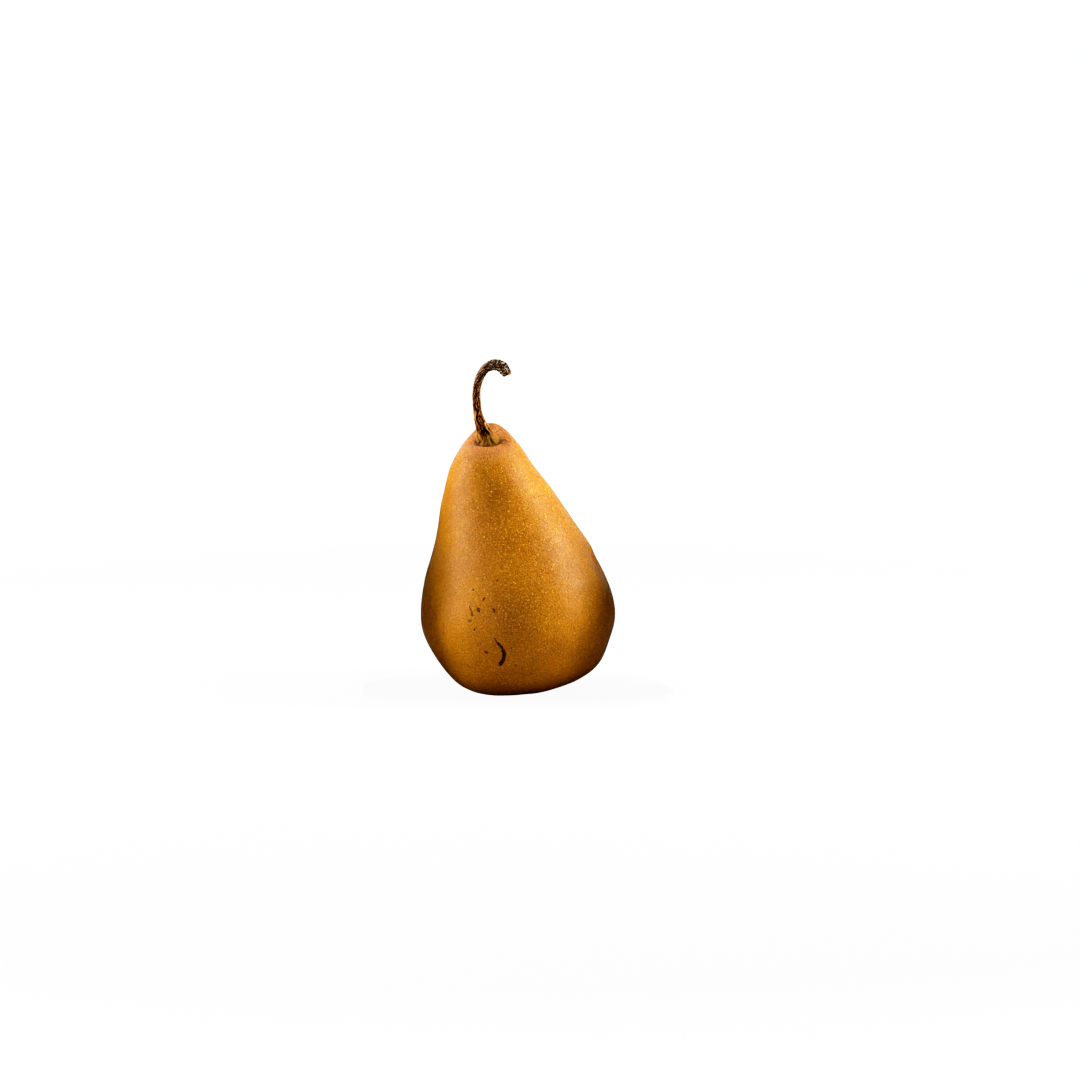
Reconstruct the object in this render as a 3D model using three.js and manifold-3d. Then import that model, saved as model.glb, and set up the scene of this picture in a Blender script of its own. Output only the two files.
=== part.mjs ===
// A whole russet pear, as picked: the fruit, its hooked stem and the dried calyx underneath.
// Millimetres, +Z up, front towards -Y. The pear rests on a flat spot beside its calyx.
import * as THREE from 'three';
import Module from 'manifold-3d';
import { mergeVertices } from 'three/addons/utils/BufferGeometryUtils.js';

const wasm = await Module();
wasm.setup();

const degrees = Math.PI / 180;

// Directions round the fruit are angles from +X towards +Y, so -90 degrees is the front.

// Fruit. Its core line runs from the calyx end up to the stem's socket. The neck leans left and forward.
const fruitSides = 60;
const fruitCore = [
  [3.8, 0.3, -0.2],
  [1.7, 0.2, 17],
  [-0.5, 0, 32],
  [-2.9, 0, 44],
  [-4.9, -0.2, 55.5],
  [-7.2, -0.8, 66.5],
  [-9.5, -2.2, 78],
  [-10.3, -3.8, 85.6],
  [-10.4, -6.0, 92.2],
];

// Skin outline: radius, and distance along the core line.
const skinOutline = [
  [8, 0.1],
  [15.6, 1.9],
  [22.7, 5],
  [27.6, 9],
  [31.5, 15.8],
  [34.2, 23.2],
  [35.0, 29.8],
  [34.0, 36.4],
  [32.0, 42.5],
  [29.0, 49.5],
  [25.0, 58.5],
  [21.0, 67.5],
  [17.2, 76.3],
  [13.6, 84.4],
  [10.7, 88.8],
  [7.5, 91.4],
  [5.0, 92.4],
];
const skinRings = 46;
const ringCrowding = 1.4; // above 1, the rings stand closer together towards the stem

// Stem socket in the top of the fruit, and the calyx basin under it.
const socketRadius = 4.4;
const socketDepth = 2.7;
const socketTaper = 0.6;
const basinRadius = 5.6;
const basinDepth = 4.6;
const hollowRings = 7;
const clearance = 0.3;

// Fleshy lip that rises beside the stem, behind it and to the right.
const lip = { toward: 80 * degrees, rise: 4.7, crest: 7.6, spread: 3.2 };

// Five soft carpel ribs round the lower half. One of them runs down the front, right of the middle.
const ribs = { count: 5, toward: -59 * degrees, rise: 0.45, centre: 14, reach: 20 };

// Hand-sized swellings and hollows: direction, height along the core line, rise, and spread in millimetres.
const swellings = [
  { toward: -6 * degrees, at: 70.5, rise: 0.35, spread: 6 },
  { toward: 0 * degrees, at: 48, rise: 1.2, spread: 5.5 },
  { toward: -14 * degrees, at: 1.5, rise: 1.9, spread: 8.5 },
  { toward: 0 * degrees, at: 20.5, rise: 0.65, spread: 5.5 },
  { toward: 0 * degrees, at: 90, rise: 1, spread: 6 },
  { toward: 180 * degrees, at: 92, rise: -1.5, spread: 6 },
  { toward: 180 * degrees, at: 72.5, rise: 0.6, spread: 5.5 },
  { toward: 180 * degrees, at: 54, rise: -0.3, spread: 5 },
  { toward: 180 * degrees, at: 40, rise: 0.4, spread: 6 },
  { toward: -5 * degrees, at: 38, rise: -2.3, spread: 8.5 },
  { toward: -145 * degrees, at: 0.5, rise: 2.2, spread: 9 },
  { toward: -100 * degrees, at: 66, rise: -0.6, spread: 13 },
  { toward: -40 * degrees, at: 58, rise: 0.5, spread: 12 },
  { toward: 110 * degrees, at: 44, rise: 0.6, spread: 17 },
  { toward: 55 * degrees, at: 24, rise: -0.5, spread: 15 },
];

// Stem. Its line starts under the collar, in the socket, and ends in the hook's tip.
const stemSides = 20;
const stemRings = 58;
const straightRoot = 0.7;
const stemRoute = [
  [-13.0, -6.8, 97.3],
  [-13.9, -7.2, 101.0],
  [-14.2, -7.4, 105.2],
  [-14.1, -7.4, 109.0],
  [-13.2, -7.5, 112.5],
  [-11.8, -7.7, 115.1],
  [-9.8, -8.0, 116.9],
  [-7.4, -8.4, 117.5],
  [-5.2, -8.8, 116.6],
  [-3.9, -9.1, 114.9],
  [-3.3, -9.2, 113.4],
];

// Stem outline: radius, and share of its length.
const stemOutline = [
  [3.4, 0.0],
  [3.85, 0.06],
  [3.3, 0.085],
  [2.5, 0.125],
  [2.1, 0.18],
  [1.8, 0.26],
  [1.48, 0.37],
  [1.34, 0.47],
  [1.32, 0.6],
  [1.42, 0.7],
  [1.7, 0.8],
  [1.95, 0.9],
  [1.85, 0.965],
  [1.4, 1.0],
];
const stemRidges = { count: 6, twist: 1.4, rise: 0.16 };

// Calyx: a dried cup with sepals round it, under the roof of the basin.
const cup = { radius: 2.2, mouth: 1.8, depth: 1.5, sides: 20 };
const sepals = { count: 5, root: 0.84, drop: 1.2, length: 2.9, width: 2, thickness: 0.7, curl: 1.9 };

function smoothstep(low, high, value) {
  return THREE.MathUtils.smoothstep(value, low, high);
}

function curveThrough(points) {
  return new THREE.CatmullRomCurve3(points.map((p) => new THREE.Vector3(...p)), false, 'centripetal');
}

// A line's axis, right and back directions at a distance along it. Past its end, the line runs on straight.
function frameOn(line, length, distance) {
  const share = THREE.MathUtils.clamp(distance / length, 0, 1);
  const axis = line.getTangentAt(share);
  const right = new THREE.Vector3(0, 1, 0).cross(axis).normalize();
  const back = axis.clone().cross(right);
  const centre = line.getPointAt(share).addScaledVector(axis, distance - share * length);
  return { axis, right, back, centre };
}

// Turns an outline of [radius, distance] pairs round a curved line. The relief moves each point of the
// surface outwards and up along the line.
function growAlong(points, outline, sides, relief) {
  const line = curveThrough(points);
  const length = line.getLength();
  const profile = outline.map(([radius, distance]) => new THREE.Vector2(radius, distance));
  const geometry = new THREE.LatheGeometry(profile, sides);
  const position = geometry.getAttribute('position');
  for (let i = 0; i < position.count; i += 1) {
    const across = position.getX(i);
    const away = position.getZ(i);
    const distance = position.getY(i);
    const radius = Math.hypot(across, away);
    const direction = Math.atan2(-away, across);
    const { axis, right, back, centre } = frameOn(line, length, distance);
    const { out, up } = relief(direction, distance, radius, length);
    const reach = radius < 1e-6 ? 0 : radius + out;
    centre.addScaledVector(right, reach * Math.cos(direction));
    centre.addScaledVector(back, reach * Math.sin(direction));
    centre.addScaledVector(axis, up);
    position.setXYZ(i, centre.x, centre.y, centre.z);
  }
  geometry.deleteAttribute('normal');
  geometry.deleteAttribute('uv');
  return mergeVertices(geometry);
}

function angleBetween(a, b) {
  return Math.atan2(Math.sin(a - b), Math.cos(a - b));
}

// How far the skin stands out from a plain turned shape.
function skinRelief(direction, distance, radius) {
  const onSkin = smoothstep(socketRadius, socketRadius + 3, radius);
  const ribFade = Math.exp(-(((distance - ribs.centre) / ribs.reach) ** 2));
  let out = ribs.rise * ribFade * Math.cos(ribs.count * (direction - ribs.toward));
  for (const { toward, at, rise, spread } of swellings) {
    const sideways = angleBetween(direction, toward) * radius;
    const along = distance - at;
    out += rise * Math.exp(-(sideways ** 2 + along ** 2) / spread ** 2);
  }
  const facing = 0.5 + 0.5 * Math.cos(direction - lip.toward);
  const crest = Math.exp(-(((radius - lip.crest) / lip.spread) ** 2));
  const nearTop = smoothstep(80, 88, distance);
  const aboveFloor = smoothstep(socketRadius - 0.75 * socketTaper, socketRadius + 0.1, radius);
  return { out: out * onSkin, up: lip.rise * facing ** 3 * crest * nearTop * aboveFloor };
}

function fruitOutline() {
  const skin = new THREE.SplineCurve(skinOutline.map(([r, d]) => new THREE.Vector2(r, d)));
  const [rim, top] = skinOutline.at(-1);
  const skinShares = [];
  for (let i = 1; i <= skinRings; i += 1) {
    skinShares.push(1 - (1 - i / skinRings) ** ringCrowding);
  }
  const basin = new THREE.SplineCurve([
    new THREE.Vector2(0, basinDepth),
    new THREE.Vector2(basinRadius * 0.43, basinDepth * 0.98),
    new THREE.Vector2(basinRadius * 0.66, basinDepth * 0.55),
    new THREE.Vector2(basinRadius, basinDepth * 0.16),
    new THREE.Vector2(...skinOutline[0]),
  ]);
  const socket = new THREE.SplineCurve([
    new THREE.Vector2(rim, top),
    new THREE.Vector2(socketRadius + 0.35, top + 0.1),
    new THREE.Vector2(socketRadius, top - 0.2),
    new THREE.Vector2(socketRadius - socketTaper * 0.5, top - socketDepth * 0.5),
    new THREE.Vector2(socketRadius - socketTaper, top - socketDepth),
  ]);
  const points = [
    ...basin.getPoints(hollowRings),
    ...skinShares.map((share) => skin.getPointAt(share)),
    ...socket.getPoints(hollowRings).slice(1),
    new THREE.Vector2(0, top - socketDepth),
  ];
  return points.map((p) => [p.x, p.y]);
}

// The pear's own weight presses a flat spot: what would sink below the table lies on it instead.
function restOnTable(geometry) {
  const position = geometry.getAttribute('position');
  for (let i = 0; i < position.count; i += 1) {
    position.setZ(i, Math.max(position.getZ(i), 0));
  }
  return geometry;
}

function makeFruit() {
  const geometry = growAlong(fruitCore, fruitOutline(), fruitSides, skinRelief);
  return restOnTable(geometry);
}

// Woody ridges run up the stem and twist round it, with finer ones between them.
function stemRelief(direction, distance, radius, length) {
  const { count, twist, rise } = stemRidges;
  const turn = (twist * distance * Math.PI) / length;
  const coarse = Math.cos(count * direction + turn);
  const fine = 0.5 * Math.cos(2 * count * direction - 2 * turn + 1);
  return { out: rise * Math.min(radius, 2) * 0.5 * (coarse + fine), up: 0 };
}

// The stem's line: out of the socket on the core line's own axis, then along its route.
function stemPoints() {
  const core = curveThrough(fruitCore);
  const coreLength = core.getLength();
  const top = skinOutline.at(-1)[1];
  const seat = frameOn(core, coreLength, top - socketDepth + clearance).centre;
  const mouth = frameOn(core, coreLength, top).centre;
  const collar = frameOn(core, coreLength, top + straightRoot).centre;
  return [seat.toArray(), mouth.toArray(), collar.toArray(), ...stemRoute];
}

function makeStem() {
  const stemLine = stemPoints();
  const length = curveThrough(stemLine).getLength();
  const side = new THREE.SplineCurve(stemOutline.map(([r, share]) => new THREE.Vector2(r, share * length)));
  const outline = [[0, 0], ...side.getSpacedPoints(stemRings).map((p) => [p.x, p.y]), [0, length]];
  return growAlong(stemLine, outline, stemSides, stemRelief);
}

function solidFrom(geometry) {
  return new wasm.Manifold(new wasm.Mesh({
    numProp: 3,
    vertProperties: new Float32Array(geometry.getAttribute('position').array),
    triVerts: new Uint32Array(geometry.index.array),
  }));
}

function geometryFrom(solid) {
  const mesh = solid.getMesh();
  const geometry = new THREE.BufferGeometry();
  geometry.setAttribute('position', new THREE.BufferAttribute(mesh.vertProperties, 3));
  geometry.setIndex(new THREE.BufferAttribute(mesh.triVerts, 1));
  return geometry;
}

// One sepal: a pointed blade along +X, its root at the origin, its tip curled down.
function makeSepal() {
  const { length, width, thickness, curl } = sepals;
  const blade = new THREE.Shape();
  blade.moveTo(0, -width * 0.42);
  blade.quadraticCurveTo(length * 0.45, -width * 0.62, length, 0);
  blade.quadraticCurveTo(length * 0.45, width * 0.62, 0, width * 0.42);
  blade.closePath();
  const geometry = new THREE.ExtrudeGeometry(blade, {
    depth: thickness,
    bevelEnabled: false,
    curveSegments: 7,
  });
  const position = geometry.getAttribute('position');
  for (let i = 0; i < position.count; i += 1) {
    const share = position.getX(i) / length;
    position.setZ(i, position.getZ(i) - curl * share ** 2);
  }
  geometry.deleteAttribute('normal');
  geometry.deleteAttribute('uv');
  return mergeVertices(geometry);
}

// The cup hangs from the basin's roof along the core line, and the sepals are fused to its side.
function makeCalyx() {
  const body = new THREE.LatheGeometry([
    new THREE.Vector2(0, -cup.depth),
    new THREE.Vector2(cup.mouth, -cup.depth),
    new THREE.Vector2(cup.radius, -cup.depth / 2),
    new THREE.Vector2(cup.mouth, 0),
    new THREE.Vector2(0, 0),
  ], cup.sides);
  body.rotateX(Math.PI / 2);
  body.deleteAttribute('normal');
  body.deleteAttribute('uv');
  let solid = solidFrom(mergeVertices(body));
  for (let i = 0; i < sepals.count; i += 1) {
    const blade = makeSepal();
    blade.translate(sepals.root, 0, -sepals.drop);
    blade.rotateZ((i * 2 * Math.PI) / sepals.count + ribs.toward);
    solid = solid.add(solidFrom(blade));
  }
  const geometry = geometryFrom(solid);
  const line = curveThrough(fruitCore);
  const { axis, centre } = frameOn(line, line.getLength(), basinDepth - clearance);
  geometry.applyQuaternion(new THREE.Quaternion().setFromUnitVectors(new THREE.Vector3(0, 0, 1), axis));
  geometry.translate(centre.x, centre.y, centre.z);
  return geometry;
}

function piece(name, geometry, color, roughness) {
  const mesh = new THREE.Mesh(geometry, new THREE.MeshStandardMaterial({ color, roughness, metalness: 0 }));
  mesh.name = name;
  return mesh;
}

const pear = new THREE.Group();
pear.add(piece('fruit', makeFruit(), 0xb8741f, 0.55));
pear.add(piece('stem', makeStem(), 0x6b4522, 0.85));
pear.add(piece('calyx', makeCalyx(), 0x3a2a1c, 0.9));

// The origin is on the table, under the middle of the pear.
const middle = new THREE.Box3().setFromObject(pear).getCenter(new THREE.Vector3());
pear.position.set(-middle.x, -middle.y, 0);

export default pear;
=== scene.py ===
import math

import bmesh
import bpy
import numpy as np
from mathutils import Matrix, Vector, noise
from mathutils.bvhtree import BVHTree


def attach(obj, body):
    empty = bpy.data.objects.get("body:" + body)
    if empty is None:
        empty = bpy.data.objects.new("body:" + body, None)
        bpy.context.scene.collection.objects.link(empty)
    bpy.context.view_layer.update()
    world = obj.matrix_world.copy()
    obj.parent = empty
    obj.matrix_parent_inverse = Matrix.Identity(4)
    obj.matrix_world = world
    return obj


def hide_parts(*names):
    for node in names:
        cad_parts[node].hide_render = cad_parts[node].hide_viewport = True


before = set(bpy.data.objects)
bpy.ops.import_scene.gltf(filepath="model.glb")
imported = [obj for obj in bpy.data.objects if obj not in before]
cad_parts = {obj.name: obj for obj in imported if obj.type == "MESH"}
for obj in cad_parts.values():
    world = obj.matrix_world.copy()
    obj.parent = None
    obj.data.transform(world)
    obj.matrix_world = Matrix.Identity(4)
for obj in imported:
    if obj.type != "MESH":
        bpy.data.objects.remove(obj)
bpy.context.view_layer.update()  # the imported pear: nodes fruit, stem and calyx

# Sizes and places are in millimetres, front towards -Y. Blender works in metres.
mm = 0.001

# The pear's own lines, as its construction has them, and how far its group was moved onto the origin
groupShift = np.array([-0.28, -0.33, 0.0])
fruitCore = [
    (3.8, 0.3, -0.2), (1.7, 0.2, 17), (-0.5, 0, 32), (-2.9, 0, 44), (-4.9, -0.2, 55.5),
    (-7.2, -0.8, 66.5), (-9.5, -2.2, 78), (-10.3, -3.8, 85.6), (-10.4, -6.0, 92.2),
]
stemRoute = [
    (-13.0, -6.8, 97.3), (-13.9, -7.2, 101.0), (-14.2, -7.4, 105.2), (-14.1, -7.4, 109.0),
    (-13.2, -7.5, 112.5), (-11.8, -7.7, 115.1), (-9.8, -8.0, 116.9), (-7.4, -8.4, 117.5),
    (-5.2, -8.8, 116.6), (-3.9, -9.1, 115.0), (-3.45, -9.15, 113.9),
]
socketRim = 92.4  # distance of the stem socket's mouth along the fruit's core
basinRoof = 4.3


def curveThrough(points, count=1500):
    # A centripetal Catmull-Rom curve, as points an even distance apart.
    knots = np.array(points, float)
    knots = np.vstack([2 * knots[0] - knots[1], knots, 2 * knots[-1] - knots[-2]])
    samples = []
    for i in range(1, len(knots) - 2):
        before, start, end, after = knots[i - 1:i + 3]
        stepIn, step, stepOut = (np.linalg.norm(b - a) ** 0.5 for a, b in
                                 ((before, start), (start, end), (end, after)))
        leave = step * ((start - before) / stepIn - (end - before) / (stepIn + step)
                        + (end - start) / step)
        arrive = step * ((end - start) / step - (after - start) / (step + stepOut)
                         + (after - end) / stepOut)
        for t in np.linspace(0, 1, 120, endpoint=False):
            samples.append(start + leave * t + (3 * (end - start) - 2 * leave - arrive) * t ** 2
                           + (2 * (start - end) + leave + arrive) * t ** 3)
    samples = np.array(samples + [knots[-2]])
    travelled = np.concatenate([[0], np.cumsum(np.linalg.norm(np.diff(samples, axis=0), axis=1))])
    even = np.linspace(0, travelled[-1], count)
    return np.stack([np.interp(even, travelled, samples[:, k]) for k in range(3)], axis=1), travelled[-1]


def framesOn(line, length, distances):
    # Centre, axis, right and back directions at distances along a line, which runs on straight at its ends.
    place = np.linspace(0, length, len(line))
    tangents = np.gradient(line, place, axis=0)
    inside = np.clip(distances, 0, length)
    centre = np.stack([np.interp(inside, place, line[:, k]) for k in range(3)], axis=1)
    axis = np.stack([np.interp(inside, place, tangents[:, k]) for k in range(3)], axis=1)
    axis /= np.linalg.norm(axis, axis=1, keepdims=True)
    centre += axis * (distances - inside)[:, None]
    right = np.cross([0, 1, 0], axis)
    right /= np.linalg.norm(right, axis=1, keepdims=True)
    return centre, axis, right, np.cross(axis, right)


def smoothstep(low, high, value):
    t = np.clip((value - low) / (high - low), 0, 1)
    return t * t * (3 - 2 * t)


def grain(points):
    return np.array([noise.noise(Vector(p)) for p in points])


def addObject(name, data):
    thing = bpy.data.objects.new(name, data)
    bpy.context.scene.collection.objects.link(thing)
    return thing


coreLine, coreLength = curveThrough(fruitCore)
coreLine = coreLine + groupShift


# Nodes and colours

def linear(hexText, alpha=1.0):
    # An sRGB hex colour as linear light
    levels = [int(hexText[i:i + 2], 16) / 255 for i in (1, 3, 5)]
    return (*(v / 12.92 if v <= 0.04045 else ((v + 0.055) / 1.055) ** 2.4 for v in levels), alpha)


def addNode(tree, kind, settings=None, links=None):
    # Settings name a property of the node or an input, or give the places and colours of a colour ramp's
    # stops. Links name the inputs that other nodes feed.
    node = tree.nodes.new(kind)
    for key, value in (settings or {}).items():
        if key == "stops":
            ramp = node.color_ramp.elements
            for stop, (position, colour) in ((ramp[0], value[0]), (ramp[1], value[-1])):
                stop.position = position
                stop.color = linear(colour)
            for position, colour in value[1:-1]:
                ramp.new(position).color = linear(colour)
        elif isinstance(key, str) and hasattr(node, key):
            setattr(node, key, value)
        else:
            node.inputs[key].default_value = value
    for key, source in (links or {}).items():
        output = source.outputs[0] if hasattr(source, "outputs") else source
        tree.links.new(output, node.inputs[key])
    return node


def startMaterial(name):
    material = bpy.data.materials.new(name)
    material.use_nodes = True
    tree = material.node_tree
    shader = tree.nodes["Principled BSDF"]
    coordinates = addNode(tree, "ShaderNodeTexCoord")
    inMillimetres = addNode(tree, "ShaderNodeVectorMath", {"operation": "SCALE", "Scale": 1 / mm},
                            {0: coordinates.outputs["Object"]})
    return material, tree, shader, inMillimetres


# Camera, at the photograph's viewing angle

view = {
    "lens": 85,
    "sensor": 36,
    "tilt": 8,  # degrees down
    "place": (7.82, -901.6, 180.96),
    "imageSide": 1080,
}


def makeCamera():
    lens = bpy.data.cameras.new("view")
    lens.lens = view["lens"]
    lens.sensor_width = view["sensor"]
    lens.clip_start = 0.02
    camera = addObject("view", lens)
    camera.location = Vector(view["place"]) * mm
    camera.rotation_euler = (math.radians(90 - view["tilt"]), 0, 0)
    bpy.context.scene.camera = camera


def rayThrough(pixel):
    # The direction in which the camera sees a pixel of the photograph
    focal = view["lens"] / view["sensor"] * view["imageSide"]
    across = (pixel[0] - view["imageSide"] / 2) / focal
    down = (pixel[1] - view["imageSide"] / 2) / focal
    tilt = math.radians(view["tilt"])
    forward = Vector((0, math.cos(tilt), -math.sin(tilt)))
    upward = Vector((0, math.sin(tilt), math.cos(tilt)))
    return (Vector((1, 0, 0)) * across - upward * down + forward).normalized()


makeCamera()
print("camera: placed")


# Skin

skin = {
    "levels": 2,
    "unevenness": 0.10,  # low hand-felt bumps
    "unevennessSize": 8.0,
    # Radius at which the flesh meets the stem's foot, by height above the socket's mouth
    "footRadius": ((-1.5, 3.55), (-0.3, 3.45), (0.4, 3.25), (1.0, 2.9), (2.0, 2.5), (3.5, 2.1)),
    "puckerDepth": 0.22,  # creases beside the stem
    "puckerToward": 40,  # where they are deepest, in degrees round the stem from its right
    "seamDepth": 0.35,  # groove round the stem's foot
    "seamEdge": (5.3, 6.0),  # radii between which it fades out
    "socketEdge": (4.9, 5.3),  # the same for the hidden flesh in the socket
    "basinMiddle": 3.6,  # how far right of the origin the calyx basin is
    "basinEdge": (5.5, 7.5),
    "scarDepth": 0.10,
    "refine": (1.3, 0.8, 0.45),  # margins round the marks where the mesh gets finer, one for each pass
}

# Dark marks in the skin: photograph pixels along each, its half width in mm there, and how dark it is
skinMarks = {
    "longScar": ([(494.5, 638.3), (497, 642), (499.7, 645), (502.8, 649.2), (504.3, 654), (503, 660.5),
                  (500.7, 663.5)], (0.10, 0.25, 0.50, 0.62, 0.66, 0.66, 0.85), 0.95),
    "scarTail": ([(486.5, 652.6), (484.2, 650.9)], (0.55, 0.18), 0.85),
    "upperDot": ([(473.4, 589.6)], (0.32,), 1.0),
    "secondDot": ([(484.2, 598.9), (483.5, 600.3)], (0.42, 0.34), 0.85),
    "thirdBlob": ([(478.2, 609.2), (479.0, 611.2)], (0.52, 0.42), 0.85),
    "fourthDot": ([(494.0, 609.6), (495.2, 611.6)], (0.44, 0.30), 0.85),
    "doubleMark": ([(469.4, 607.0), (471.2, 610.6), (472.5, 615.0)], (0.22, 0.20, 0.44), 0.75),
    "brownDot": ([(468.6, 621.4), (471.0, 621.0)], (0.32, 0.36), 0.6),
    "lowerDot": ([(474.6, 629.8)], (0.26,), 1.0),
    "tinyDotA": ([(508.0, 616.8)], (0.24,), 0.6),
    "tinyDotB": ([(513.5, 622.0)], (0.22,), 0.7),
    "faintDotA": ([(479.6, 595.7)], (0.40,), 0.4),
    "faintDotB": ([(497.2, 580.2)], (0.40,), 0.6),
    "tinyDotC": ([(511.6, 648.0)], (0.30,), 0.7),
    "tinyDotD": ([(515.4, 665.4)], (0.36,), 0.6),
    "tinyDotE": ([(461.4, 664.2)], (0.22,), 0.6),
    "faintSmudge": ([(464.5, 664.6), (469.5, 666.5)], (0.45, 0.7), 0.25),
    "thinLine": ([(443.6, 623.7), (443.5, 635.0)], (0.13, 0.13), 0.7),
    "thinArc": ([(526.0, 675.0), (529.5, 674.6), (532.5, 673.0)], (0.12, 0.16, 0.1), 0.6),
    "shoulderMark": ([(514.0, 439.6), (515.0, 443.2)], (0.35, 0.22), 0.55),
    "shoulderSpot": ([(503.8, 440.7), (505.4, 440.0)], (0.30, 0.2), 0.5),
    "neckLine": ([(490.7, 518.0), (490.9, 524.0)], (0.16, 0.12), 0.3),
}


def smoothCopy(node, name):
    # The node's triangles merged, joined in pairs and subdivided
    mesh = bpy.data.meshes.new(name)
    form = bmesh.new()
    form.from_mesh(node.data)
    bmesh.ops.remove_doubles(form, verts=form.verts, dist=1e-6)
    bmesh.ops.join_triangles(form, faces=form.faces, angle_face_threshold=math.radians(60),
                             angle_shape_threshold=math.radians(50))
    form.to_mesh(mesh)
    form.free()
    base = addObject(name + "_base", mesh)
    smoother = base.modifiers.new("smooth", "SUBSURF")
    smoother.levels = skin["levels"]
    smoother.render_levels = skin["levels"]
    fine = evaluatedMesh(base, name)
    bpy.data.objects.remove(base)
    return fine


def evaluatedMesh(thing, name):
    graph = bpy.context.evaluated_depsgraph_get()
    mesh = bpy.data.meshes.new_from_object(thing.evaluated_get(graph), depsgraph=graph)
    mesh.name = name
    return mesh


def pointsOf(mesh):
    points = np.empty(len(mesh.vertices) * 3)
    mesh.vertices.foreach_get("co", points)
    return points.reshape(-1, 3) / mm


def normalsOf(mesh):
    normals = np.empty(len(mesh.vertices) * 3)
    mesh.vertex_normals.foreach_get("vector", normals)
    return normals.reshape(-1, 3)


def setPoints(mesh, points):
    mesh.vertices.foreach_set("co", (points * mm).ravel())
    mesh.update()


def setAttribute(mesh, name, values):
    attribute = mesh.attributes.get(name) or mesh.attributes.new(name, "FLOAT", "POINT")
    attribute.data.foreach_set("value", np.asarray(values, np.float32))


def markPaths(mesh):
    # Each mark's points where the camera's rays through its pixels meet the skin
    form = bmesh.new()
    form.from_mesh(mesh)
    tree = BVHTree.FromBMesh(form)
    form.free()
    origin = Vector(view["place"]) * mm
    paths = []
    for pixels, widths, darkness in skinMarks.values():
        hits = [tree.ray_cast(origin, rayThrough(pixel))[0] for pixel in pixels]
        paths.append((np.array([hit / mm for hit in hits]), np.array(widths), darkness))
    return paths


def outsideMark(points, path, widths):
    # How far points are outside a mark's edge, negative within it
    if len(path) == 1:
        return np.linalg.norm(points - path[0], axis=1) - widths[0]
    nearest = np.full(len(points), np.inf)
    for start, end, widthHere, widthThere in zip(path, path[1:], widths, widths[1:]):
        along = end - start
        share = np.clip((points - start) @ along / (along @ along), 0, 1)
        reach = np.linalg.norm(points - start - share[:, None] * along, axis=1)
        nearest = np.minimum(nearest, reach - (widthHere + share * (widthThere - widthHere)))
    return nearest


def refineRoundMarks(mesh, paths):
    form = bmesh.new()
    form.from_mesh(mesh)
    for margin in skin["refine"]:
        middles = np.array([(e.verts[0].co + e.verts[1].co) / 2 / mm for e in form.edges])
        near = np.zeros(len(middles), bool)
        for path, widths, _ in paths:
            near |= outsideMark(middles, path, widths) < margin
        chosen = [edge for edge, close in zip(form.edges, near) if close]
        bmesh.ops.subdivide_edges(form, edges=chosen, cuts=1, use_grid_fill=True)
    bmesh.ops.triangulate(form, faces=[face for face in form.faces if len(face.verts) > 4])
    form.to_mesh(mesh)
    form.free()


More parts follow.
